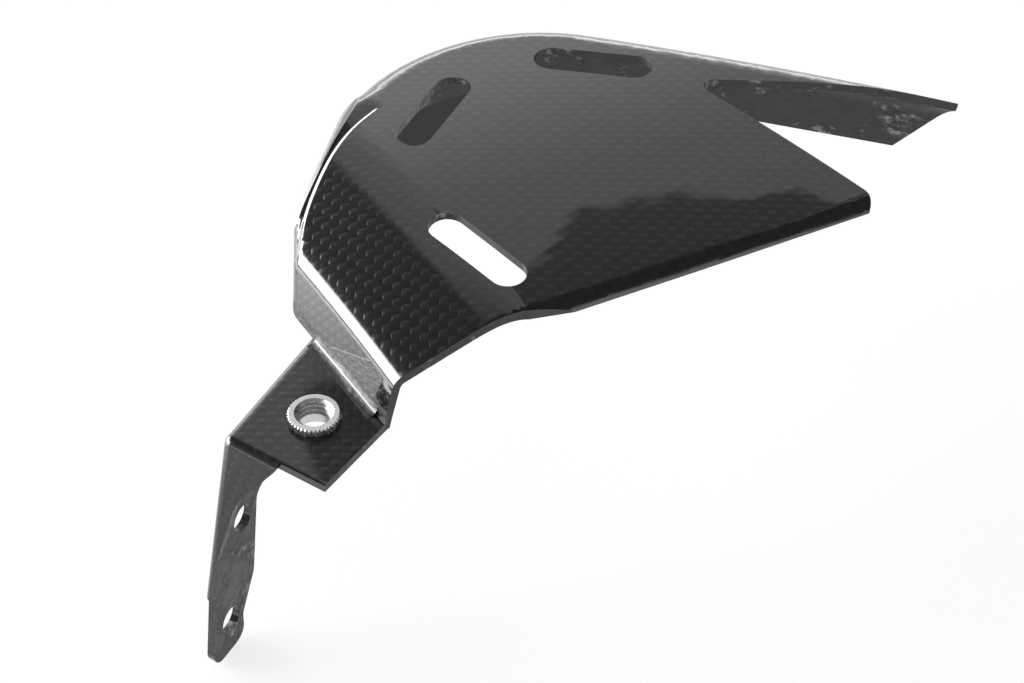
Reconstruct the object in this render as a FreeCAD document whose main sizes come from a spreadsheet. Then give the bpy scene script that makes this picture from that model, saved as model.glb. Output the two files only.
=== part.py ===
import FreeCAD
import Part
import math
import os

# Sprocket cover: a carbon moulding of one even skin, with a bonded threaded insert.
# Frame: Z along the insert's axis, Z = 0 on the tab's outer face, +Y towards the drum.
# The skin is the space between an outer and an inner moulding form, trimmed and drilled.

doc = FreeCAD.newDocument("sprocket_cover")
sheet = doc.addObject("Spreadsheet::Sheet", "Sizes")

SIZES = [
    # skin and drum
    ("skin", 2.0), ("drum_radius", 49.7), ("drum_shift", 26.0), ("brow_root", 12.8),
    # directions that the form's walls face, and how far beyond the drum they stand
    ("far_angle", 107.8), ("left_angle", 195.0), ("facet_angle", 216.7),
    ("brow_angle", 246.0), ("near_angle", -30.0),
    ("near_gap", 1.0), ("brow_gap", 14.3), ("facet_gap", 6.1),
    ("draft_angle", 4.0), ("brow_draft_angle", 15.0), ("facet_radius", 9.0), ("corner_radius", 9.0),
    # roof of the form
    ("face_height", 21.4), ("brow_height", 11.4), ("slope_angle", 20.0),
    ("slope_blend", 40.0), ("crown_radius", 600.0), ("crown_angle", 30.0),
    ("shoulder_radius", 10.0), ("brow_radius", 4.5), ("lip_radius", 4.5),
    # channel along the left shoulder
    ("cove_out", 3.0), ("cove_back", 18.8), ("cove_drop", 4.1), ("cove_radius", 8.5),
    ("cove_angle", -1.0), ("cove_rise_angle", 14.0), ("cove_reach", 70.0),
    # prongs and the mouth between them
    ("prong_tip", 89.0), ("prong_slant", 14.2), ("prong_slope_angle", 50.0), ("prong_round", 4.0),
    ("mouth_along", 27.2), ("mouth_inset", 17.6), ("mouth_radius", 2.5),
    ("mouth_near_angle", -28.3), ("prong_width", 5.6), ("prong_neck", 13.5),
    ("prong_neck_radius", 40.0), ("prong_angle", -2.0), ("near_tip_radius", 4.5),
    ("near_tip_angle", 12.0),
    # rolled lip of the near side
    ("lip_depth", 2.8), ("lip_trim", 2.6), ("lip_start", 28.0), ("lip_fade", 30.0),
    ("lip_run", 42.0), ("lip_blend", 40.0),
    # vent slots
    ("slot_width", 8.5), ("slot_length", 28.0),
    ("far_slot_inset", 17.0), ("far_slot_bearing", 99.8), ("far_slot_angle", 23.0),
    ("left_slot_inset", 23.3), ("left_slot_bearing", 187.1), ("left_slot_angle", 98.0),
    ("low_slot_inset", 11.8), ("low_slot_bearing", -76.2), ("low_slot_angle", -13.6),
    # tab
    ("tab_left", 13.0), ("tab_right", 13.6), ("tab_front", 15.3), ("tab_bend", 2.4),
    ("tab_edge", 0.8), ("tab_root_fillet", 3.0),
    # leg, skirt and gusset
    ("leg_lean_angle", 18.2), ("leg_toe_angle", 5.6), ("leg_drop", 60.8), ("leg_corner", 3.5),
    ("leg_step", 2.4), ("heel_inset", 5.6), ("foot_width", 12.8), ("foot_height", 6.5),
    ("knee_height", 9.2), ("knee_out", 5.7), ("leg_root_width", 15.6),
    ("skirt_drop", 22.6), ("skirt_taper", 13.0),
    ("gusset_reach", 14.3), ("gusset_waist", 5.5), ("gusset_waist_drop", 13.4),
    ("gusset_radius", 14.0), ("gusset_clear", 21.8), ("gusset_run_out", 8.0),
    ("hole_radius", 3.5), ("low_hole_up", 9.0), ("low_hole_in", 8.2),
    ("high_hole_drop", 26.2), ("high_hole_in", 10.4),
    # threaded insert
    ("insert_radius", 5.8), ("insert_proud", 1.9), ("insert_depth", 6.0),
    ("insert_seat_gap", 0.05), ("thread_radius", 3.4), ("thread_mouth", 4.3),
    ("knurl_count", 40), ("knurl_depth", 0.35), ("insert_rim_chamfer", 0.35),
]
for row, (alias, number) in enumerate(SIZES, start=1):
    sheet.set("A%d" % row, alias)
    sheet.set("B%d" % row, str(number))
    sheet.setAlias("B%d" % row, alias)
doc.recompute()

UP = FreeCAD.Vector(0, 0, 1)
NEAR_ZERO = 1e-4


def size(alias):
    return float(sheet.get(alias))


def slope_of(alias):
    return math.tan(math.radians(size(alias)))


def flat(x, y):
    return FreeCAD.Vector(x, y, 0)


def heading(degrees):
    turn = math.radians(degrees)
    return flat(math.cos(turn), math.sin(turn))


def crossing(line_a, line_b):
    """Where two lines, each a point and a heading, meet as seen from above."""
    (point_a, way_a), (point_b, way_b) = line_a, line_b
    step = point_b - point_a
    scale = (step.x * way_b.y - step.y * way_b.x) / (way_a.x * way_b.y - way_a.y * way_b.x)
    return point_a + way_a * scale


def rounded(corners):
    """Lines and tangent arcs round a closed outline of corners, each a point and a radius."""
    ends = []
    for index, (point, radius) in enumerate(corners):
        before = (corners[index - 1][0] - point).normalize()
        after = (corners[(index + 1) % len(corners)][0] - point).normalize()
        if radius <= 0:
            ends.append((point, point, None))
            continue
        half = before.getAngle(after) / 2
        reach = radius / math.tan(half)
        inward = (before + after).normalize()
        apex = point + inward * (radius / math.sin(half) - radius)
        ends.append((point + before * reach, point + after * reach, apex))
    curves = []
    for index, (start, finish, apex) in enumerate(ends):
        if apex is not None:
            curves.append(Part.Arc(start, apex, finish))
        following = ends[(index + 1) % len(ends)][0]
        if finish.distanceToPoint(following) > NEAR_ZERO:
            curves.append(Part.LineSegment(finish, following))
    return curves


def lifted(height):
    return FreeCAD.Placement(UP * height, FreeCAD.Rotation())


def facing(point, across, upward):
    """A sketch's place: its origin, and the directions of its x and y."""
    return FreeCAD.Placement(point, FreeCAD.Rotation(across, upward, across.cross(upward)))


def drawn(name, corners, placement):
    sketch = doc.addObject("Sketcher::SketchObject", name)
    sketch.addGeometry(rounded(corners), False)
    sketch.Placement = placement
    return sketch


def pushed(name, sketch, way, forward, back=None):
    block = doc.addObject("Part::Extrusion", name)
    block.Base = sketch
    block.DirMode = "Custom"
    block.Dir = way
    block.Solid = True
    block.setExpression("LengthFwd", forward)
    if back is not None:
        block.setExpression("LengthRev", back)
    return block


def joined(kind, name, base, tool):
    item = doc.addObject("Part::" + kind, name)
    item.Base = base
    item.Tool = tool
    doc.recompute()
    return item


def softened(name, base, picks):
    item = doc.addObject("Part::Fillet", name)
    item.Base = base
    item.Edges = picks
    doc.recompute()
    return item


def centre_of(edge):
    return edge.valueAt((edge.FirstParameter + edge.LastParameter) / 2)


near_offset = size("drum_radius") + size("near_gap")
brow_offset = size("drum_radius") + size("brow_gap")
facet_offset = size("drum_radius") + size("facet_gap")
brow_out = heading(size("brow_angle"))
brow_along = heading(size("brow_angle") + 90)
brow_foot = flat(0, size("brow_root")) - brow_along * size("drum_shift")
drum = brow_foot - brow_out * brow_offset
far_out = heading(size("far_angle"))
far_along = heading(size("far_angle") - 90)
far_foot = drum + far_out * size("drum_radius")
near_out = heading(size("near_angle"))
near_along = heading(size("near_angle") + 90)
near_foot = drum + near_out * near_offset
toe = math.radians(size("leg_toe_angle"))
leg_rear = flat(-math.sin(toe), math.cos(toe))
tab_corner = flat(-size("tab_left"), -size("tab_front"))
tab_end = crossing((brow_foot, brow_along), (tab_corner, leg_rear))
form_height = size("face_height") + 2 * size("skin")
form_skirt = 3 * size("skin")
far_side = size("prong_tip") * 2
draft_loss = size("face_height") * slope_of("draft_angle")

WALLS = {
    "brow": ("brow_angle", brow_offset, "brow_draft_angle"),
    "facet": ("facet_angle", facet_offset, "draft_angle"),
    "left": ("left_angle", size("drum_radius"), "draft_angle"),
    "far": ("far_angle", size("drum_radius"), "draft_angle"),
    "near": ("near_angle", near_offset, "draft_angle"),
}


def wall_line(name, inset, height):
    """One wall of a moulding form at a height: a point on it and its heading."""
    faces, offset, draft = WALLS[name]
    distance = offset - inset - height * slope_of(draft)
    return drum + heading(size(faces)) * distance, heading(size(faces) + 90)


def form_outline(inset, height):
    lines = {name: wall_line(name, inset, height) for name in WALLS}
    end = (far_foot + far_along * (size("prong_tip") + form_skirt), far_out)
    drum_radius = size("drum_radius") - inset - height * slope_of("draft_angle")
    return [
        (crossing(lines["brow"], lines["facet"]), size("corner_radius") - inset),
        (crossing(lines["facet"], lines["left"]), size("facet_radius") - inset),
        (crossing(lines["left"], lines["far"]), drum_radius),
        (crossing(lines["far"], end), 0),
        (crossing(end, lines["near"]), 0),
        (crossing(lines["near"], lines["brow"]), 0),
    ]


def form_roof(name, inset):
    """A form's roof: brow slope, blend and face, crowned by turning about a distant axis."""
    slope = slope_of("slope_angle")
    face = size("face_height") - inset
    brow = -brow_offset
    brow_top = size("brow_height") - inset * math.hypot(1, slope)
    knee = brow + (face - brow_top) / slope
    front = 2 * brow
    corners = [
        (flat(front, front), 0),
        (flat(far_side, front), 0),
        (flat(far_side, face), 0),
        (flat(knee, face), size("slope_blend") - inset),
        (flat(front, brow_top + brow * slope), 0),
    ]
    roof = doc.addObject("Part::Revolution", name)
    roof.Source = drawn(name + "_profile", corners, facing(drum, -brow_out, UP))
    roof.Axis = -brow_out
    roof.Base = drum - UP * (size("crown_radius") - size("face_height"))
    roof.setExpression("Angle", "Sizes.crown_angle")
    roof.Symmetric = True
    roof.Solid = True
    return roof


def form_block(name, inset, base):
    walls = doc.addObject("Part::Loft", name + "_walls")
    walls.Sections = [
        drawn(name + "_base", form_outline(inset, base), lifted(base)),
        drawn(name + "_top", form_outline(inset, form_height), lifted(form_height)),
    ]
    walls.Solid = True
    walls.Ruled = True
    return joined("Common", name + "_block", walls, form_roof(name + "_roof", inset))


def on_wall(name, point, inset):
    faces, offset, draft = WALLS[name]
    across = (point - drum).dot(heading(size(faces)))
    return abs(across - offset + inset + point.z * slope_of(draft)) < size("skin") / 4


def on_drum(point, inset):
    arm = flat(point.x, point.y) - drum
    radius = size("drum_radius") - inset - point.z * slope_of("draft_angle")
    return abs(arm.Length - radius) < size("skin") / 4


def rim_picks(block, inset):
    """Roundings of a form's upper rim: tight at brow and lip, wide round the drum."""
    tight = size("brow_radius") - inset
    wide = size("shoulder_radius") - inset
    lip = size("lip_radius") - inset
    level = size("face_height") - inset - size("skin")
    picks = []
    for number, edge in enumerate(block.Shape.Edges, start=1):
        middle = centre_of(edge)
        if middle.z < size("brow_height") - 2 * inset:
            continue
        if on_wall("near", middle, inset):
            picks.append((number, lip, lip))
        elif on_drum(middle, inset) or any(
                on_wall(name, middle, inset) for name in ("brow", "facet", "left", "far")):
            ends = [wide if vertex.Point.z > level else tight for vertex in edge.Vertexes]
            picks.append((number, ends[0], ends[-1]))
    return picks


def cove_rod(name, inset):
    """The rounded channel down the left shoulder, which leaves a sharp ridge above it."""
    left_out = heading(size("left_angle"))
    left_along = heading(size("left_angle") - 90)
    middle = drum + left_out * (size("drum_radius") + size("cove_out"))
    middle = middle - left_along * size("cove_back")
    middle = middle + UP * (size("face_height") - size("cove_drop"))
    rise = math.radians(size("cove_rise_angle"))
    level = heading(size("left_angle") - 90 + size("cove_angle"))
    way = level * math.cos(rise) + UP * math.sin(rise)
    rod = doc.addObject("Part::Cylinder", name)
    rod.Radius = size("cove_radius") + inset
    rod.setExpression("Height", "Sizes.cove_reach * 2")
    rod.Placement = FreeCAD.Placement(
        middle - way * size("cove_reach"), FreeCAD.Rotation(UP, way))
    return rod


def leg_plane(inset):
    """The leg's plane at the tab's front corner: x rearward, y up."""
    return facing(tab_corner + flat(inset / math.cos(toe), 0), leg_rear, UP)


def tab_block(name, inset):
    """Tab, gusset and leg as one block: level top, leaning front, upright left side."""
    lean = slope_of("leg_lean_angle")
    front = inset * math.hypot(1, lean) - inset * lean
    low = -size("leg_drop") - form_skirt
    back = tab_end.y + size("tab_front") + form_skirt + 3 * inset
    corners = [
        (flat(front / math.cos(toe), -inset), 0),
        (flat(back / math.cos(toe), -inset), 0),
        (flat(back / math.cos(toe), low - inset), 0),
        (flat((front + low * lean) / math.cos(toe), low - inset), 0),
    ]
    profile = drawn(name + "_profile", corners, leg_plane(inset))
    return pushed(name, profile, flat(1, 0), "(Sizes.tab_left + Sizes.tab_right) * 1.5")


def bend_picks(block):
    """The tab block's folds: tab to gusset, tab to leg, gusset to leg."""
    picks = []
    for number, edge in enumerate(block.Shape.Edges, start=1):
        middle = centre_of(edge)
        side = middle.x + (middle.y + size("tab_front")) * math.tan(toe)
        front = middle.y < -size("tab_front") + NEAR_ZERO
        left = side < -size("tab_left") + NEAR_ZERO
        top = abs(middle.z) < NEAR_ZERO
        if front + left + top == 2 and middle.z > -size("leg_drop"):
            picks.append((number, size("tab_bend"), size("tab_bend")))
    return picks


def root_fillet(name):
    """The hollow fillet where the brow wall rises from the tab, as a bar along that wall."""
    lean = math.radians(size("brow_draft_angle"))
    radius = size("tab_root_fillet")
    reach = radius * math.tan((math.pi / 2 - lean) / 2)
    foot = flat(reach, 0)
    hub = flat(reach, radius)
    touch = hub - flat(math.cos(lean), math.sin(lean)) * radius
    hollow = hub - flat(reach, radius).normalize() * radius
    buried = flat(-radius, -size("skin") / 2)
    sketch = doc.addObject("Sketcher::SketchObject", name + "_profile")
    sketch.addGeometry([
        Part.Arc(touch, hollow, foot),
        Part.LineSegment(foot, flat(foot.x, buried.y)),
        Part.LineSegment(flat(foot.x, buried.y), buried),
        Part.LineSegment(buried, flat(buried.x, touch.y)),
        Part.LineSegment(flat(buried.x, touch.y), touch),
    ], False)
    tab_flat = (tab_corner + flat(size("tab_bend") / math.cos(toe), 0), leg_rear)
    start = crossing((brow_foot, brow_along), tab_flat)
    sketch.Placement = facing(start, brow_out, UP)
    return pushed(name, sketch, brow_along, "Sizes.tab_left + Sizes.tab_right")


def upright(name, corners, low, high):
    """A cutting block: an outline seen from above, raised from one height to another."""
    block = doc.addObject("Part::Extrusion", name)
    block.Base = drawn(name + "_outline", corners, lifted(low))
    block.DirMode = "Custom"
    block.Dir = UP
    block.Solid = True
    block.LengthFwd = high - low
    return block


def near_cut():
    """Takes off the free near side: square with the tab, then out past the rolled lip."""
    trim = (near_foot - near_out * (size("lip_trim") + draft_loss), near_along)
    side = (flat(size("tab_right"), 0), flat(0, 1))
    begin = trim[0] - near_along * size("lip_start")
    fade = near_foot + near_out * size("lip_trim")
    fade = fade + near_along * (size("lip_fade") - size("lip_start"))
    beyond = fade + near_along * far_side
    low = -2 * size("leg_drop")
    corners = [
        (flat(size("tab_right"), low), 0),
        (crossing(side, trim), size("lip_radius")),
        (begin, size("lip_blend")),
        (fade, size("lip_blend")),
        (beyond, 0),
        (flat(beyond.x, low), 0),
    ]
    return upright("near_cut", corners, low, form_height)


def lip_cut():
    """Cuts the rolled lip of the near side to its depth, rising from under the brow slope."""
    start = -size("lip_start")
    low = -form_skirt
    top = size("face_height") - near_offset ** 2 / (2 * size("crown_radius"))
    rim = top - size("lip_depth")
    corners = [
        (flat(start, low), 0),
        (flat(start + size("lip_radius") / 2, top - 1.3 * size("skin")), 0),
        (flat(start + size("lip_run"), rim), size("lip_blend")),
        (flat(far_side, rim), 0),
        (flat(far_side, low), 0),
    ]
    sketch = drawn("lip_cut_outline", corners, facing(near_foot, near_along, UP))
    return pushed("lip_cut", sketch, near_out, "Sizes.lip_radius * 2", "Sizes.lip_radius * 2")


def mouth_cut():
    """The open mouth between the two prongs, with the near prong's rounded tip."""
    apex = far_foot + far_along * size("mouth_along") - far_out * size("mouth_inset")
    near_side = (apex, heading(size("far_angle") - 90 + size("mouth_near_angle")))
    rim = (near_foot - near_out * draft_loss, near_along)
    tip = crossing(near_side, rim)
    past = tip - heading(size("near_angle") + 90 + size("near_tip_angle")) * size("drum_radius")
    neck = far_foot + far_along * (size("prong_tip") - size("prong_neck"))
    neck = neck - far_out * size("prong_width")
    end = neck + heading(size("far_angle") - 90 + size("prong_angle")) * size("prong_tip")
    corners = [
        (apex, size("mouth_radius")),
        (tip, size("near_tip_radius")),
        (past, 0),
        (flat(end.x, past.y), 0),
        (end, 0),
        (neck, size("prong_neck_radius")),
    ]
    return upright("mouth_cut", corners, -form_skirt, form_height)


def prong_cut():
    """The far prong's slanted end."""
    rise = slope_of("prong_slope_angle")
    tip = size("prong_tip")
    beyond = tip + 4 * form_skirt
    corners = [
        (flat(tip - size("prong_slant") - form_skirt / rise, -form_skirt), 0),
        (flat(tip, size("prong_slant") * rise), size("prong_round")),
        (flat(tip, form_height), 0),
        (flat(beyond, form_height), 0),
        (flat(beyond, -form_skirt), 0),
    ]
    sketch = drawn("prong_cut_outline", corners, facing(far_foot, far_along, UP))
    return pushed("prong_cut", sketch, far_out, "Sizes.face_height", "Sizes.face_height")


def fold_y(drop):
    """How far forward the leaning fold between gusset and leg is, at a drop below the tab."""
    return -size("tab_front") - drop * slope_of("leg_lean_angle")


foot_low = -size("leg_drop")
heel_y = fold_y(size("leg_drop")) + size("heel_inset")
gusset_end = size("leg_drop") - size("gusset_clear")


def leg_cut():
    """Cuts the upright left side to a skirt under the tab and a leaning, drilled leg."""
    corner = size("leg_corner")
    foot_y = heel_y + size("foot_width")
    foot_top = foot_low + size("foot_height")
    root_y = fold_y(size("skirt_drop")) + size("leg_root_width")
    outside = heel_y - size("leg_drop")
    rear = tab_end.y + size("leg_drop")
    corners = [
        (flat(outside, -gusset_end), 0),
        (flat(fold_y(gusset_end) + size("leg_step"), -gusset_end), size("leg_step") / 2),
        (flat(heel_y, foot_low), corner),
        (flat(foot_y, foot_low), corner),
        (flat(foot_y, foot_top), corner),
        (flat(foot_y + size("knee_out"), foot_top + size("knee_height")), 2 * corner),
        (flat(root_y, -size("skirt_drop")), corner),
        (flat(tab_end.y - size("skirt_taper"), -size("skirt_drop")), 2 * corner),
        (flat(tab_end.y, -1.5 * size("skin")), 0),
        (flat(rear, -1.5 * size("skin")), 0),
        (flat(rear, 2 * foot_low), 0),
        (flat(outside, 2 * foot_low), 0),
    ]
    place = facing(flat(-2 * size("tab_left"), 0), flat(0, 1), UP)
    sketch = drawn("leg_cut_outline", corners, place)
    return pushed("leg_cut", sketch, flat(1, 0), "Sizes.tab_left * 2 + Sizes.tab_right * 2")


def gusset_cut():
    """Tapers the gusset from the tab's front edge down into the leg."""
    start = 3 * size("skin")
    shift = -start * math.tan(toe)
    left = -size("tab_left")
    flush = left + size("skin") / math.cos(toe)
    right = 3 * size("tab_right")
    corners = [
        (flat(left + size("gusset_reach"), -size("skin")), 0),
        (flat(left + size("gusset_waist"), -size("gusset_waist_drop")), size("gusset_radius")),
        (flat(flush, size("gusset_run_out") - gusset_end), 0),
        (flat(flush, 2 * foot_low), 0),
        (flat(right, 2 * foot_low), 0),
        (flat(right, -size("skin")), 0),
    ]
    place = facing(flat(shift, start - size("tab_front")), flat(1, 0), UP)
    sketch = drawn("gusset_cut_outline", corners, place)
    return pushed("gusset_cut", sketch, -leg_rear, "Sizes.leg_drop")


def tab_cut():
    """Squares the tab's front edge where no gusset hangs from it."""
    edge = size("tab_edge") - size("tab_front")
    left = size("gusset_reach") - size("tab_left")
    right = 3 * size("tab_right")
    front = edge - size("tab_front")
    corners = [(flat(left, edge), 0), (flat(right, edge), 0), (flat(right, front), 0), (flat(left, front), 0)]
    return upright("tab_cut", corners, -2 * size("skin"), size("skin"))


def slot_cut(name):
    """A round-ended vent slot through the face."""
    radius = size("slot_width") / 2
    half = size("slot_length") / 2
    corners = [
        (flat(-half, -radius), radius),
        (flat(half, -radius), radius),
        (flat(half, radius), radius),
        (flat(-half, radius), radius),
    ]
    arm = heading(size(name + "_bearing")) * (size("drum_radius") - size(name + "_inset"))
    block = upright(name, corners, 0, form_height)
    block.Base.Placement = FreeCAD.Placement(
        drum + arm + UP * (size("brow_height") / 2), FreeCAD.Rotation(UP, size(name + "_angle")))
    return block


def leg_hole(name, across, drop):
    """A bolt hole square through the leg's plane."""
    side = -size("tab_left") - (across + size("tab_front")) * math.tan(toe)
    way = heading(size("leg_toe_angle"))
    drill = doc.addObject("Part::Cylinder", name)
    drill.setExpression("Radius", "Sizes.hole_radius")
    drill.setExpression("Height", "Sizes.skin * 3")
    drill.Placement = FreeCAD.Placement(
        FreeCAD.Vector(side, across, -drop) - way * size("skin"), FreeCAD.Rotation(UP, way))
    return drill


def insert_seat():
    drill = doc.addObject("Part::Cylinder", "insert_seat")
    drill.setExpression("Radius", "Sizes.insert_radius + Sizes.insert_seat_gap")
    drill.setExpression("Height", "Sizes.skin * 3")
    drill.Placement = lifted(-2 * size("skin"))
    return drill


def knurled_outline():
    """A ring of straight knurl teeth, tip to root to tip."""
    count = int(size("knurl_count"))
    tip = size("insert_radius")
    root = tip - size("knurl_depth")
    corners = []
    for tooth in range(count):
        turn = 360.0 * tooth / count
        corners.append((heading(turn) * tip, 0))
        corners.append((heading(turn + 180.0 / count) * root, 0))
    return corners


def make_cover():
    skin = size("skin")
    outer = form_block("outer", 0, 0)
    inner = form_block("inner", skin, -form_skirt)
    outer = softened("outer_round", outer, rim_picks(outer, 0))
    inner = softened("inner_round", inner, rim_picks(inner, skin))
    outer = joined("Cut", "outer_coved", outer, cove_rod("outer_cove", 0))
    inner = joined("Cut", "inner_coved", inner, cove_rod("inner_cove", skin))
    outer_tab = tab_block("outer_tab", 0)
    inner_tab = tab_block("inner_tab", skin)
    doc.recompute()
    folded = softened("outer_folded", outer_tab, bend_picks(outer_tab))
    outer = joined("Fuse", "outer_all", outer, folded)
    outer = joined("Fuse", "outer_form", outer, root_fillet("root_fillet"))
    inner = joined("Fuse", "inner_form", inner, inner_tab)
    shell = joined("Cut", "shell", outer, inner)
    cuts = doc.addObject("Part::MultiFuse", "cuts")
    cuts.Shapes = [
        near_cut(), lip_cut(), mouth_cut(), prong_cut(), leg_cut(), gusset_cut(), tab_cut(),
        slot_cut("far_slot"), slot_cut("left_slot"), slot_cut("low_slot"),
        leg_hole("low_hole", heel_y + size("low_hole_in"), size("leg_drop") - size("low_hole_up")),
        leg_hole(
            "high_hole", fold_y(size("high_hole_drop")) + size("high_hole_in"), size("high_hole_drop")),
        insert_seat(),
    ]
    doc.recompute()
    cover = joined("Cut", "cover", shell, cuts)
    cover.Label = "cover"
    return cover


def make_insert():
    knurl = upright("knurl", knurled_outline(), -size("insert_depth"), size("insert_proud"))
    collar = doc.addObject("Part::Cylinder", "collar")
    collar.setExpression("Radius", "Sizes.insert_radius")
    collar.setExpression("Height", "Sizes.insert_depth + Sizes.insert_proud")
    collar.Placement = lifted(-size("insert_depth"))
    doc.recompute()
    eased = doc.addObject("Part::Chamfer", "eased_collar")
    eased.Base = collar
    chamfer = size("insert_rim_chamfer")
    eased.Edges = [
        (number, chamfer, chamfer)
        for number, edge in enumerate(collar.Shape.Edges, start=1) if edge.isClosed()]
    doc.recompute()
    plug = joined("Common", "plug", knurl, eased)
    bore = doc.addObject("Part::Cylinder", "thread_bore")
    bore.setExpression("Radius", "Sizes.thread_radius")
    bore.setExpression("Height", "Sizes.insert_depth * 2 + Sizes.insert_proud * 2")
    bore.Placement = lifted(-size("insert_depth") * 1.5)
    mouth = doc.addObject("Part::Cone", "thread_mouth")
    mouth.setExpression("Radius1", "Sizes.thread_radius")
    mouth.setExpression("Radius2", "Sizes.thread_mouth")
    mouth.setExpression("Height", "Sizes.thread_mouth - Sizes.thread_radius")
    mouth.Placement = lifted(size("insert_proud") - size("thread_mouth") + size("thread_radius"))
    drilled = joined("Fuse", "drilled", bore, mouth)
    insert = joined("Cut", "threaded_insert", plug, drilled)
    insert.Label = "threaded_insert"
    return insert


parts = [make_cover(), make_insert()]
for item in doc.Objects:
    if {"Invalid", "Error"} & set(item.State):
        raise RuntimeError("%s is %s" % (item.Name, item.State))
for part in parts:
    if part.Shape.isNull() or not part.Shape.isValid():
        raise RuntimeError(part.Label + " has no valid shape")
os.makedirs("parts", exist_ok=True)
for part in parts:
    part.Shape.exportStep("parts/%s.step" % part.Label)
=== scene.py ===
import math

import bpy
from mathutils import Matrix, Vector


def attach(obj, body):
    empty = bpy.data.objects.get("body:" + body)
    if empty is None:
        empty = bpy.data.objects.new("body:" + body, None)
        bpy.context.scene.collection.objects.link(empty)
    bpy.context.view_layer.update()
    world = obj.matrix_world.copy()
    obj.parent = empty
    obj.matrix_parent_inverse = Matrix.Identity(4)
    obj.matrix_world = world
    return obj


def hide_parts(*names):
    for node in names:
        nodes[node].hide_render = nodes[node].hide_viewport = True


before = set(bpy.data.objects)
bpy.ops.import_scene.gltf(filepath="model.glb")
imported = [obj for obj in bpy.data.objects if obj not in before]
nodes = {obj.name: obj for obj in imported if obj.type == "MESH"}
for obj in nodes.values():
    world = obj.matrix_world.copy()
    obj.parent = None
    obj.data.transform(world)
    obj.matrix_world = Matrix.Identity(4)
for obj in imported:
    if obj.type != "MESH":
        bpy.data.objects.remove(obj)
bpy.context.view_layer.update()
scene = bpy.context.scene

MM = 0.001
UP = Vector((0, 0, 1))

# The moulding's main surfaces, as in the part's source
FACE_HEIGHT = 21.4 * MM
BROW_HEIGHT = 11.4 * MM
BROW_ROOT = 12.8 * MM
BROW_OFFSET = 64.0 * MM
DRUM_SHIFT = 26.0 * MM
SLOPE = math.radians(20.0)
SLOPE_BLEND = 40.0 * MM
CROWN_RADIUS = 600.0 * MM
BROW_RADIUS = 4.5 * MM
BROW_DRAFT = math.radians(15.0)
BROW_OUT = Vector((math.cos(math.radians(246)), math.sin(math.radians(246)), 0))
BROW_ALONG = Vector((-BROW_OUT.y, BROW_OUT.x, 0))
DRUM = Vector((0, BROW_ROOT, 0)) - BROW_ALONG * DRUM_SHIFT - BROW_OUT * BROW_OFFSET
NEAR_OUT = Vector((math.cos(math.radians(-30)), math.sin(math.radians(-30)), 0))
NEAR_ALONG = Vector((-NEAR_OUT.y, NEAR_OUT.x, 0))
LIP_START = -24.0 * MM
INSIDE_POINT = Vector((1.7, 60.0, -9.0)) * MM
ON_ROOF = 0.08 * MM
SAME_SURFACE = math.cos(math.radians(32))

# The ridge that runs down the left shoulder, an arc as seen from above
RIDGE_CENTRE = Vector((37.7, 65.7, 0)) * MM
RIDGE_RADIUS = 73.4 * MM
RIDGE_END = 74.0 * MM

# How far the brow's edge, the ridge and its channel turn the skin's normal
BROW_SOFTNESS = 0.3
CREST_PULL = Vector((-0.43, -0.55, 0))
CHANNEL_PULL = Vector((0.3, 0.07, 0))
CHANNEL_FAR_SIDE = -0.4

# The weave and the coat over it
TOW = 2.05 * MM
WEAVE_TURN = math.radians(34.0)
TOW_RELIEF = 0.1 * MM
LOW_TOW_SHARE = 0.25
FACE_BARENESS = 0.4
SLOPE_BARENESS = 1.0
COAT_WAVE = 0.03 * MM
# Base colours of the tows: the top tow's lighter colour is painted sheen, standing in for the
# fibres' directional reflection
TOW_UNDER_WITHOUT_SHEEN = (0.002, 0.002, 0.0021, 1)
TOW_OVER_PAINTED_SHEEN = (0.006, 0.006, 0.0062, 1)

# The inner side
RESIN = (0.01, 0.01, 0.01, 1)
SCUFF = (0.24, 0.24, 0.24, 1)
RESIN_RELIEF = 0.5 * MM

# The threaded insert
INSERT_RADIUS = 5.8 * MM
INSERT_TOP = 1.9 * MM
INSERT_FOOT = -6.0 * MM
KNURL_TEETH = 40
KNURL_DEPTH = 0.35 * MM
POINTS_PER_TOOTH = 6
RIM_CHAMFER = 0.35 * MM
THREAD_MINOR = 3.4 * MM
THREAD_MAJOR = 4.0 * MM
THREAD_MOUTH = 4.3 * MM
THREAD_PITCH = 1.25 * MM
FLANK_RISE = 2.6
ROOT_FLAT = 0.15
BORE_LEVELS = 96
RELIEF_TOP = -2.4 * MM
RELIEF_RADIUS = 5.0 * MM
METAL = (0.62, 0.61, 0.6, 1)

FLOOR_Z = -61.1 * MM


def node(tree, kind, **settings):
    item = tree.nodes.new(kind)
    for name, value in settings.items():
        setattr(item, name, value)
    return item


def feed(tree, target, value):
    """Links a socket, or sets a plain value, on an input socket."""
    if isinstance(value, bpy.types.NodeSocket):
        tree.links.new(value, target)
    else:
        target.default_value = value


def maths(tree, operation, first, second=None, third=None, clamp=False):
    item = node(tree, "ShaderNodeMath", operation=operation, use_clamp=clamp)
    for socket, value in zip(item.inputs, (first, second, third)):
        if value is not None:
            feed(tree, socket, value)
    return item.outputs[0]


def times(tree, first, second):
    return maths(tree, "MULTIPLY", first, second)


def rest_of(tree, value):
    """What a share leaves of one."""
    return maths(tree, "SUBTRACT", 1.0, value)


def vector_maths(tree, operation, first, second):
    item = node(tree, "ShaderNodeVectorMath", operation=operation)
    feed(tree, item.inputs[0], first)
    feed(tree, item.inputs[1], second)
    return item.outputs["Value" if operation in ("DOT_PRODUCT", "DISTANCE") else "Vector"]


def ramp(tree, value, low, high, to_low=0.0, to_high=1.0):
    item = node(tree, "ShaderNodeMapRange", interpolation_type="SMOOTHSTEP")
    feed(tree, item.inputs["Value"], value)
    item.inputs["From Min"].default_value = low
    item.inputs["From Max"].default_value = high
    item.inputs["To Min"].default_value = to_low
    item.inputs["To Max"].default_value = to_high
    return item.outputs["Result"]


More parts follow.
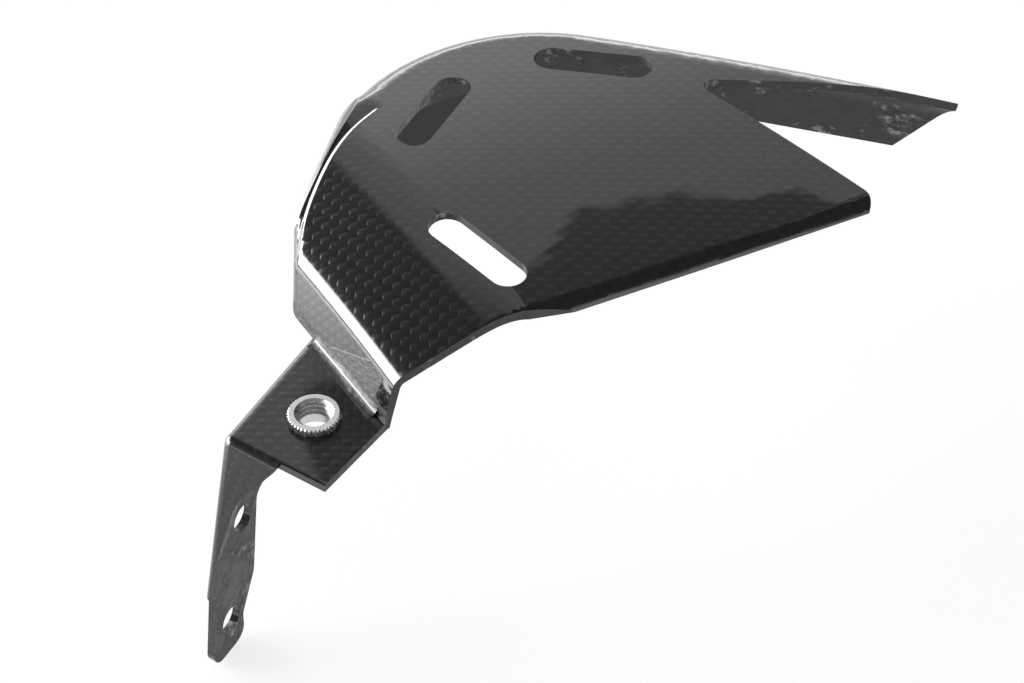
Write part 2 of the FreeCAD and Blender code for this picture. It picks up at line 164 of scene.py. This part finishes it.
def window(tree, value, start, full, wane, end):
    """Rises from nothing to one between start and full, and falls again between wane and end."""
    return times(tree, ramp(tree, value, start, full), ramp(tree, value, wane, end, 1.0, 0.0))


def blend(tree, factor, first, second, kind="FLOAT"):
    item = node(tree, "ShaderNodeMix", data_type=kind)
    feed(tree, item.inputs[0], factor)
    low, high, out = {"FLOAT": (2, 3, 0), "RGBA": (6, 7, 2)}[kind]
    feed(tree, item.inputs[low], first)
    feed(tree, item.inputs[high], second)
    return item.outputs[out]


def noise(tree, place, scale, detail=3.0, rough=0.55):
    item = node(tree, "ShaderNodeTexNoise")
    feed(tree, item.inputs["Vector"], place)
    item.inputs["Scale"].default_value = scale
    item.inputs["Detail"].default_value = detail
    item.inputs["Roughness"].default_value = rough
    return item.outputs["Fac"]


def new_material(name):
    material = bpy.data.materials.new(name)
    material.use_nodes = True
    tree = material.node_tree
    tree.nodes.clear()
    output = node(tree, "ShaderNodeOutputMaterial")
    return material, tree, output


def split(tree, vector):
    item = node(tree, "ShaderNodeSeparateXYZ")
    feed(tree, item.inputs[0], vector)
    return item.outputs


def from_drum(tree, place, direction):
    """How far a place lies from the drum's axis along a level direction."""
    arm = vector_maths(tree, "SUBTRACT", place, tuple(DRUM))
    return vector_maths(tree, "DOT_PRODUCT", arm, tuple(direction))


def plain_weave(tree, bareness):
    """Height of a plain weave over the cloth, and which of the two tows lies on top."""
    place = split(tree, node(tree, "ShaderNodeUVMap", uv_map="weave").outputs["UV"])
    cells = maths(tree, "ADD", maths(tree, "FLOOR", place[0]), maths(tree, "FLOOR", place[1]))
    over = maths(tree, "FLOORED_MODULO", cells, 2.0)
    first = maths(tree, "MULTIPLY_ADD", maths(tree, "FRACT", place[0]), 2.0, -1.0)
    second = maths(tree, "MULTIPLY_ADD", maths(tree, "FRACT", place[1]), 2.0, -1.0)
    across = blend(tree, over, second, first)
    along = blend(tree, over, first, second)
    pillow = rest_of(tree, maths(tree, "POWER", maths(tree, "ABSOLUTE", across), 3.0))
    arch = maths(tree, "COSINE", times(tree, along, math.pi / 2))
    dome = times(tree, pillow, arch)
    height = times(tree, dome, blend(tree, over, LOW_TOW_SHARE, 1.0))
    return times(tree, height, bareness), over


def moulded_normal(tree, place):
    """The skin's normal with the softer brow edge and the ridge and channel of the left shoulder."""
    smooth = node(tree, "ShaderNodeNewGeometry").outputs["Normal"]
    across, along, height = split(tree, place)
    level = ramp(tree, split(tree, smooth)[2], 0.55, 0.8)
    beyond = from_drum(tree, place, BROW_OUT)
    soft = ramp(tree, beyond, BROW_OFFSET - 10 * MM, BROW_OFFSET - 3 * MM, 0.0, BROW_SOFTNESS)
    soft = times(tree, soft, ramp(tree, height, 4 * MM, 7 * MM))
    flat_place = vector_maths(tree, "MULTIPLY", place, (1, 1, 0))
    reach = vector_maths(tree, "DISTANCE", flat_place, tuple(RIDGE_CENTRE))
    past = maths(tree, "SUBTRACT", reach, RIDGE_RADIUS)
    crest = window(tree, past, -0.6 * MM, -0.1 * MM, 0.1 * MM, 0.5 * MM)
    channel = times(
        tree, ramp(tree, past, 0.2 * MM, 0.8 * MM),
        ramp(tree, past, 3 * MM, 6 * MM, 1.0, CHANNEL_FAR_SIDE))
    before_end = ramp(tree, along, RIDGE_END - 3 * MM, RIDGE_END + 2 * MM, 1.0, 0.0)
    left_side = ramp(tree, across, -24 * MM, -20 * MM, 1.0, 0.0)
    within = times(tree, before_end, times(tree, level, left_side))
    pulls = (
        (times(tree, soft, level), BROW_OUT),
        (times(tree, crest, within), CREST_PULL),
        (times(tree, channel, within), CHANNEL_PULL),
    )
    total = smooth
    for amount, pull in pulls:
        scaled = node(tree, "ShaderNodeVectorMath", operation="SCALE")
        scaled.inputs[0].default_value = pull
        feed(tree, scaled.inputs["Scale"], amount)
        total = vector_maths(tree, "ADD", total, scaled.outputs[0])
    unit = node(tree, "ShaderNodeVectorMath", operation="NORMALIZE")
    feed(tree, unit.inputs[0], total)
    return unit.outputs[0]


def bumped(tree, height, distance, normal=None):
    item = node(tree, "ShaderNodeBump")
    if normal is not None:
        feed(tree, item.inputs["Normal"], normal)
    item.inputs["Strength"].default_value = 1.0
    item.inputs["Distance"].default_value = distance
    feed(tree, item.inputs["Height"], height)
    return item.outputs["Normal"]


def gloss_shader(tree, place):
    """The outer side: bare cloth relief under a thick, clear, slightly wavy coat."""
    beyond = from_drum(tree, place, BROW_OUT)
    bareness = ramp(
        tree, beyond, BROW_OFFSET - 34 * MM, BROW_OFFSET - 14 * MM, FACE_BARENESS, SLOPE_BARENESS)
    lean = split(tree, node(tree, "ShaderNodeNewGeometry").outputs["Normal"])[2]
    bend = window(tree, lean, 0.4, 0.5, 0.8, 0.92)
    bareness = times(tree, bareness, rest_of(tree, bend))
    height, over = plain_weave(tree, bareness)
    skin = moulded_normal(tree, place)
    wave = noise(tree, place, 60.0, detail=1.0)
    shader = node(tree, "ShaderNodeBsdfPrincipled")
    # Painted sheen: the tow on top gets the lighter base colour
    feed(tree, shader.inputs["Base Color"], blend(tree, over, TOW_UNDER_WITHOUT_SHEEN, TOW_OVER_PAINTED_SHEEN, "RGBA"))
    shader.inputs["Roughness"].default_value = 0.3
    shader.inputs["Specular IOR Level"].default_value = 0.15
    feed(tree, shader.inputs["Normal"], bumped(tree, height, TOW_RELIEF, skin))
    shader.inputs["Coat Weight"].default_value = 1.0
    shader.inputs["Coat Roughness"].default_value = 0.02
    feed(tree, shader.inputs["Coat Normal"], bumped(tree, wave, COAT_WAVE, skin))
    return shader.outputs[0]


def inner_shader(tree, place):
    """The inner side: dull dark resin, patchy, with pale drawn-out scuffs and specks."""
    patches = noise(tree, place, 130.0, detail=5.0, rough=0.65)
    drawn_out = vector_maths(tree, "MULTIPLY", place, (0.35, 1.0, 0.8))
    specks = noise(tree, drawn_out, 700.0, detail=3.0, rough=0.6)
    pale = times(tree, ramp(tree, patches, 0.53, 0.68), ramp(tree, specks, 0.44, 0.68))
    shader = node(tree, "ShaderNodeBsdfPrincipled")
    feed(tree, shader.inputs["Base Color"], blend(tree, pale, RESIN, SCUFF, "RGBA"))
    feed(tree, shader.inputs["Roughness"], ramp(tree, patches, 0.3, 0.7, 0.3, 0.6))
    rough = maths(tree, "ADD", patches, times(tree, specks, 0.4))
    feed(tree, shader.inputs["Normal"], bumped(tree, rough, RESIN_RELIEF))
    return shader.outputs[0]


def painted_root_shade(tree, place):
    """Painted shade in the hollow at the foot of the brow wall: the dark dull inner finish replaces
    the gloss there, all but a thin glossy line.
    """
    height = split(tree, place)[2]
    shaded_hollow = window(tree, height, 0.05 * MM, 0.15 * MM, 2.2 * MM, 3.2 * MM)
    line = window(tree, height, 0.6 * MM, 0.7 * MM, 0.9 * MM, 1.0 * MM)
    beyond = from_drum(tree, place, BROW_OUT)
    foot = ramp(tree, beyond, BROW_OFFSET - 1.5 * MM, BROW_OFFSET - 1.0 * MM)
    return times(tree, foot, times(tree, shaded_hollow, rest_of(tree, line)))


def carbon_material():
    """Gloss outside; dull inside and on the trimmed near edge; painted shade, dark and dull, at the
    root of the brow.
    """
    material, tree, output = new_material("carbon_weave")
    place = node(tree, "ShaderNodeTexCoord").outputs["Object"]
    normal = node(tree, "ShaderNodeNewGeometry").outputs["True Normal"]
    arm = vector_maths(tree, "SUBTRACT", place, tuple(INSIDE_POINT))
    outward = vector_maths(tree, "DOT_PRODUCT", arm, normal)
    along = from_drum(tree, place, NEAR_ALONG)
    facing_near = vector_maths(tree, "DOT_PRODUCT", normal, tuple(NEAR_OUT))
    trimmed = times(
        tree, ramp(tree, along, LIP_START - 2 * MM, LIP_START, 1.0, 0.0),
        ramp(tree, facing_near, 0.55, 0.65))
    glossy = times(tree, ramp(tree, outward, -1 * MM, 1 * MM), rest_of(tree, trimmed))
    # Painted shade: the hollow at the brow's root gets the dark dull inner shader
    glossy = times(tree, glossy, rest_of(tree, painted_root_shade(tree, place)))
    mix = node(tree, "ShaderNodeMixShader")
    feed(tree, mix.inputs[0], glossy)
    tree.links.new(inner_shader(tree, place), mix.inputs[1])
    tree.links.new(gloss_shader(tree, place), mix.inputs[2])
    tree.links.new(mix.outputs[0], output.inputs[0])
    return material


def metal_material():
    material, tree, output = new_material("insert_metal")
    place = node(tree, "ShaderNodeTexCoord").outputs["Object"]
    grain = noise(tree, place, 1500.0, detail=2.0)
    shader = node(tree, "ShaderNodeBsdfPrincipled")
    shader.inputs["Base Color"].default_value = METAL
    shader.inputs["Metallic"].default_value = 1.0
    feed(tree, shader.inputs["Roughness"], ramp(tree, grain, 0.3, 0.7, 0.25, 0.45))
    feed(tree, shader.inputs["Normal"], bumped(tree, grain, 0.03 * MM))
    tree.links.new(shader.outputs[0], output.inputs[0])
    return material


def roof_normal(point):
    """The roof's own normal at a point, and how far the point is off the outer roof."""
    knee = -BROW_OFFSET + (FACE_HEIGHT - BROW_HEIGHT) / math.tan(SLOPE)
    reach = SLOPE_BLEND * math.tan(SLOPE / 2)
    arm = point - DRUM
    inward = -arm.dot(BROW_OUT)
    sideways = arm.dot(BROW_ALONG)
    radial = BROW_ALONG * sideways + UP * (point.z - FACE_HEIGHT + CROWN_RADIUS)
    radius = radial.length
    radial.normalize()
    if inward >= knee + reach:
        profile, tilt = CROWN_RADIUS, 0.0
    elif inward <= knee - reach * math.cos(SLOPE):
        profile, tilt = CROWN_RADIUS + (inward - knee) * math.tan(SLOPE), SLOPE
    else:
        tilt = math.asin((knee + reach - inward) / SLOPE_BLEND)
        profile = CROWN_RADIUS - SLOPE_BLEND * (1 - math.cos(tilt))
    return radial * math.cos(tilt) + BROW_OUT * math.sin(tilt), radius - profile


def brow_round_normal(point):
    """The normal of the brow's rounded edge at a point, and how far the point is off it."""
    arm = point - DRUM
    sideways = arm.dot(BROW_ALONG)
    height = BROW_HEIGHT - sideways ** 2 / (2 * CROWN_RADIUS)
    rise, lean = math.tan(SLOPE), math.tan(BROW_DRAFT)
    hub_z = height + BROW_RADIUS * (rise / math.cos(BROW_DRAFT) - 1 / math.cos(SLOPE))
    hub_z /= 1 - lean * rise
    hub_out = BROW_OFFSET - hub_z * lean - BROW_RADIUS / math.cos(BROW_DRAFT)
    out = arm.dot(BROW_OUT) - hub_out
    lift = point.z - hub_z
    off = math.hypot(out, lift) - BROW_RADIUS
    if out < 0 or lift < 0:
        off = BROW_RADIUS
    tilt = BROW_ALONG * (lift * sideways / CROWN_RADIUS)
    return (BROW_OUT * out + UP * lift + tilt).normalized(), off


def corner_normals(mesh):
    """Area-weighted normals that stop at sharp edges, and true ones on the outer roof."""
    around = [[] for _ in mesh.vertices]
    for polygon in mesh.polygons:
        for index in polygon.vertices:
            around[index].append(polygon)
    known = []
    for vertex in mesh.vertices:
        options = [roof_normal(vertex.co), brow_round_normal(vertex.co)]
        known.append(min(options, key=lambda option: abs(option[1])))
    normals = []
    for polygon in mesh.polygons:
        for index in polygon.vertices:
            true, off = known[index]
            if abs(off) < ON_ROOF and true.dot(polygon.normal) > SAME_SURFACE:
                normals.append(true)
                continue
            total = Vector()
            for other in around[index]:
                if other.normal.dot(polygon.normal) > SAME_SURFACE:
                    total += other.normal * other.area
            normals.append(total.normalized() if total.length > 0 else polygon.normal.copy())
    return normals


def fold_height(point, outward):
    """The height of the upper edge of the wall that a point is on."""
    brow_line = (point - DRUM).dot(BROW_OUT)
    if brow_line > BROW_OFFSET + 1 * MM or point.z < -1 * MM:
        return 0.0
    if outward.dot(BROW_OUT) > 0.9:
        return BROW_HEIGHT
    return FACE_HEIGHT - 3 * MM


def weave_place(point, normal):
    """The point's place in the cloth, with walls unfolded outward, counted in tows."""
    spot = Vector((point.x, point.y))
    level = Vector((normal.x, normal.y))
    steep = min(max((level.length - 0.4) / 0.4, 0.0), 1.0)
    if steep > 0:
        outward = level.normalized()
        drop = fold_height(point, Vector((outward.x, outward.y, 0))) - point.z
        spot = spot + outward * (drop * steep)
    cosine, sine = math.cos(WEAVE_TURN), math.sin(WEAVE_TURN)
    along = spot.x * cosine + spot.y * sine
    across = spot.y * cosine - spot.x * sine
    return along / TOW, across / TOW


def make_cover():
    """The cover's own mesh with true normals, the cloth's layout and the carbon material."""
    mesh = nodes["cover"].data.copy()
    mesh.name = "cover_skin"
    normals = corner_normals(mesh)
    layer = mesh.uv_layers.new(name="weave")
    for loop, normal in zip(mesh.loops, normals):
        layer.data[loop.index].uv = weave_place(mesh.vertices[loop.vertex_index].co, normal)
    mesh.shade_smooth()
    mesh.normals_split_custom_set(normals)
    cover = bpy.data.objects.new("cover_skin", mesh)
    cover.matrix_world = nodes["cover"].matrix_world.copy()
    scene.collection.objects.link(cover)
    mesh.materials.clear()
    mesh.materials.append(carbon_material())
    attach(cover, "root")
    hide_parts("cover")


def ring_grid(rings):
    """Vertices and quads of stacked rings that all have the same number of points."""
    count = len(rings[0])
    points = [point for ring in rings for point in ring]
    quads = []
    for level in range(len(rings) - 1):
        for step in range(count):
            after = (step + 1) % count
            low, high = level * count, (level + 1) * count
            quads.append((low + step, low + after, high + after, high + step))
    return points, quads


def polar(radius, turn, height):
    return radius * math.cos(turn), radius * math.sin(turn), height


def thread_radius(turn, height):
    """The wall of a right-hand internal thread, flat at its crest and root."""
    phase = (height / THREAD_PITCH - turn / (2 * math.pi)) % 1.0
    rise = min(max(FLANK_RISE * abs(phase - 0.5) - ROOT_FLAT, 0.0), 1.0)
    return THREAD_MAJOR + (THREAD_MINOR - THREAD_MAJOR) * rise


def make_insert():
    """Knurled bush: foot, knurl, rim and threaded bore as one ring-shaped skin."""
    steps = KNURL_TEETH * POINTS_PER_TOOTH
    turns = [2 * math.pi * step / steps for step in range(steps)]

    def knurl(ease, height):
        ring = []
        for turn in turns:
            tooth = abs((turn * KNURL_TEETH / (2 * math.pi)) % 1.0 - 0.5) * 2
            radius = INSERT_RADIUS - KNURL_DEPTH * (1 - tooth)
            ring.append(polar(min(radius, INSERT_RADIUS - ease), turn, height))
        return ring

    def bore(height):
        if height < RELIEF_TOP:
            return [polar(RELIEF_RADIUS, turn, height) for turn in turns]
        mouth = THREAD_MOUTH - (INSERT_TOP - height)
        return [polar(max(thread_radius(turn, height), mouth), turn, height) for turn in turns]

    depth = INSERT_TOP - INSERT_FOOT
    rings = [
        knurl(RIM_CHAMFER, INSERT_FOOT),
        knurl(0, INSERT_FOOT + RIM_CHAMFER),
        knurl(0, INSERT_TOP - RIM_CHAMFER),
        knurl(RIM_CHAMFER, INSERT_TOP),
    ]
    rings += [bore(INSERT_TOP - depth * level / BORE_LEVELS) for level in range(BORE_LEVELS + 1)]
    rings.append(rings[0])
    points, quads = ring_grid(rings)
    mesh = bpy.data.meshes.new("insert_bush")
    mesh.from_pydata(points, [], quads)
    mesh.validate()
    mesh.shade_smooth()
    mesh.set_sharp_from_angle(angle=math.radians(28))
    mesh.materials.append(metal_material())
    insert = bpy.data.objects.new("insert_bush", mesh)
    scene.collection.objects.link(insert)
    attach(insert, "root")
    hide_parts("threaded_insert")


make_cover()
make_insert()

# Camera: the photograph's view
AZIMUTH = math.radians(34.0)
ELEVATION = math.radians(43.6)
CAMERA_PLACE = Vector((0.2558, -0.3039, 0.3988))
SENSOR_WIDTH = 36
LENS = 92.53
forward = Vector((
    -math.sin(AZIMUTH) * math.cos(ELEVATION),
    math.cos(AZIMUTH) * math.cos(ELEVATION),
    -math.sin(ELEVATION)))
right = Vector((math.cos(AZIMUTH), math.sin(AZIMUTH), 0))
up = right.cross(forward)
camera_data = bpy.data.cameras.new("camera")
camera_data.sensor_width = SENSOR_WIDTH
camera_data.lens = LENS
camera_data.clip_start = 0.01
camera = bpy.data.objects.new("camera", camera_data)
camera.matrix_world = Matrix((
    (right.x, up.x, -forward.x, CAMERA_PLACE.x),
    (right.y, up.y, -forward.y, CAMERA_PLACE.y),
    (right.z, up.z, -forward.z, CAMERA_PLACE.z),
    (0, 0, 0, 1)))
scene.collection.objects.link(camera)
scene.camera = camera

# White floor just under the leg's foot, bright by itself so that shadows stay faint
FLOOR_REACH = 6.0
FLOOR_GLOW = 0.79
FLOOR_SHADE = (0.22, 0.22, 0.22, 1)
# Painted light: a bright pool glowing on the floor far to the left, which the brow wall mirrors like
# a softbox
PAINTED_LIGHT_POOL_GLOW = 5.0
PAINTED_LIGHT_SPOT = (-350 * MM, -110 * MM, FLOOR_Z)
PAINTED_LIGHT_INNER = 90 * MM
PAINTED_LIGHT_OUTER = 270 * MM
# Painted shadow: a dark patch painted on the floor where the left slot looks through to it, so the
# slot shows dark
PAINTED_SHADOW_SPOT = (-81 * MM, 161 * MM, FLOOR_Z)
PAINTED_SHADOW_INNER = 15 * MM
PAINTED_SHADOW_OUTER = 22 * MM
PAINTED_SHADOW_SHARE = 0.97
PAINTED_SHADOW_COLOUR = (0.02, 0.02, 0.02, 1)
floor_mesh = bpy.data.meshes.new("floor")
floor_mesh.from_pydata([
    (-FLOOR_REACH, -FLOOR_REACH, FLOOR_Z), (FLOOR_REACH, -FLOOR_REACH, FLOOR_Z),
    (FLOOR_REACH, FLOOR_REACH, FLOOR_Z), (-FLOOR_REACH, FLOOR_REACH, FLOOR_Z)], [], [(0, 1, 2, 3)])
floor = bpy.data.objects.new("floor", floor_mesh)
scene.collection.objects.link(floor)
floor_material, floor_tree, floor_output = new_material("white_floor")
floor_shader = node(floor_tree, "ShaderNodeBsdfPrincipled")
floor_shader.inputs["Roughness"].default_value = 1.0
floor_shader.inputs["Specular IOR Level"].default_value = 0.0
floor_shader.inputs["Emission Color"].default_value = (1, 1, 1, 1)
floor_place = node(floor_tree, "ShaderNodeNewGeometry").outputs["Position"]


def pool(centre, inner, outer):
    """One inside a round patch of the floor, falling softly to nothing at its outer radius."""
    apart = vector_maths(floor_tree, "DISTANCE", floor_place, centre)
    return ramp(floor_tree, apart, inner, outer, 1.0, 0.0)


painted_light_pool = pool(PAINTED_LIGHT_SPOT, PAINTED_LIGHT_INNER, PAINTED_LIGHT_OUTER)
painted_shadow_pool = pool(PAINTED_SHADOW_SPOT, PAINTED_SHADOW_INNER, PAINTED_SHADOW_OUTER)
# Painted light: the floor glows brighter inside the pool to the left
floor_glow_with_painted_pools = maths(floor_tree, "MULTIPLY_ADD", painted_light_pool, PAINTED_LIGHT_POOL_GLOW, FLOOR_GLOW)
# Painted shadow: the floor's glow and colour darken inside the dark patch
floor_glow_with_painted_pools = times(floor_tree, floor_glow_with_painted_pools, rest_of(floor_tree, times(floor_tree, painted_shadow_pool, PAINTED_SHADOW_SHARE)))
feed(floor_tree, floor_shader.inputs["Emission Strength"], floor_glow_with_painted_pools)
floor_colour_and_painted_shadow = blend(floor_tree, painted_shadow_pool, FLOOR_SHADE, PAINTED_SHADOW_COLOUR, "RGBA")
feed(floor_tree, floor_shader.inputs["Base Color"], floor_colour_and_painted_shadow)
floor_tree.links.new(floor_shader.outputs[0], floor_output.inputs[0])
floor_mesh.materials.append(floor_material)

# The studio's light by direction: strengths, and limits in degrees of bearing or height
CEILING = 0.2
SOFTBOX = 18.0
SOFTBOX_SIDES = (-45.0, 14.0)
SOFTBOX_TOP = (18.0, 30.0)
SOFTBOX_SKEW = 0.15
BACK_GLOW = 0.6
BACK_GLOW_SIDES = (21.0, 115.0)
BACK_GLOW_TOP = (32.0, 43.0)
BACK_WALL = 0.75
BACK_WALL_SIDES = (21.0, 95.0)
BACK_WALL_TOP = (52.0, 64.0)
HORIZON = 2.0
HORIZON_TOP = (4.0, 22.0)
# The dark shape that the face and the tab mirror, with a ragged edge
SHAPE_LIGHT = 0.22
SHAPE_SOFT = 0.3
FACE_SHAPE_SIDES = (60.2, 80.0)
FACE_SHAPE_RIM = (26.9, 27.5)
FACE_SHAPE_SKEW = -0.28
TAB_SHAPE_SIDES = (49.8, 55.0)
TAB_SHAPE_HEIGHTS = (44.3, 50.0)
RAGGED = 4.0
RAGGED_SCALE = 26.0
world = bpy.data.worlds.new("studio")
scene.world = world
world.use_nodes = True
sky = world.node_tree
sky.nodes.clear()
sky_output = node(sky, "ShaderNodeOutputWorld")
sky_place = node(sky, "ShaderNodeTexCoord").outputs["Generated"]
direction = split(sky, sky_place)
height = maths(sky, "DEGREES", maths(sky, "ARCSINE", direction[2]))
bearing = maths(
    sky, "DEGREES", maths(sky, "ARCTAN2", direction[1], times(sky, direction[0], -1.0)))


def band(value, limits, soft):
    """One between two limits, falling softly to nothing outside them."""
    low, high = limits
    return window(sky, value, low - soft, low + soft, high - soft, high + soft)


def panel(sides, soft, rise, top):
    """A lit panel between two bearings that fades out towards its top."""
    return times(sky, band(bearing, sides, soft), ramp(sky, rise, *top, 1.0, 0.0))


softbox_rise = maths(sky, "MULTIPLY_ADD", bearing, SOFTBOX_SKEW, height)
lamps = (
    (panel(SOFTBOX_SIDES, 6.0, softbox_rise, SOFTBOX_TOP), SOFTBOX),
    (panel(BACK_GLOW_SIDES, 8.0, height, BACK_GLOW_TOP), BACK_GLOW),
    (panel(BACK_WALL_SIDES, 4.0, height, BACK_WALL_TOP), BACK_WALL),
    (ramp(sky, height, *HORIZON_TOP, 1.0, 0.0), HORIZON),
)
light = CEILING
for share, strength in lamps:
    light = maths(sky, "MULTIPLY_ADD", share, strength, light)
ragged = noise(sky, sky_place, RAGGED_SCALE, detail=2.0)
edge = maths(sky, "MULTIPLY_ADD", ragged, RAGGED, -RAGGED / 2)
ragged_bearing = maths(sky, "ADD", bearing, edge)
rim = maths(sky, "ADD", maths(sky, "MULTIPLY_ADD", bearing, FACE_SHAPE_SKEW, height), edge)
on_face = times(
    sky, band(ragged_bearing, FACE_SHAPE_SIDES, SHAPE_SOFT), ramp(sky, rim, *FACE_SHAPE_RIM))
on_tab = times(
    sky, band(ragged_bearing, TAB_SHAPE_SIDES, SHAPE_SOFT),
    band(height, TAB_SHAPE_HEIGHTS, SHAPE_SOFT))
shape = maths(sky, "ADD", on_face, on_tab, clamp=True)
light = times(sky, light, blend(sky, shape, 1.0, SHAPE_LIGHT))
rays = node(sky, "ShaderNodeLightPath")
background = node(sky, "ShaderNodeBackground")
background.inputs["Color"].default_value = (1, 1, 1, 1)
feed(sky, background.inputs["Strength"], blend(sky, rays.outputs["Is Camera Ray"], light, 1.0))
sky.links.new(background.outputs[0], sky_output.inputs[0])

scene.view_settings.view_transform = "Standard"
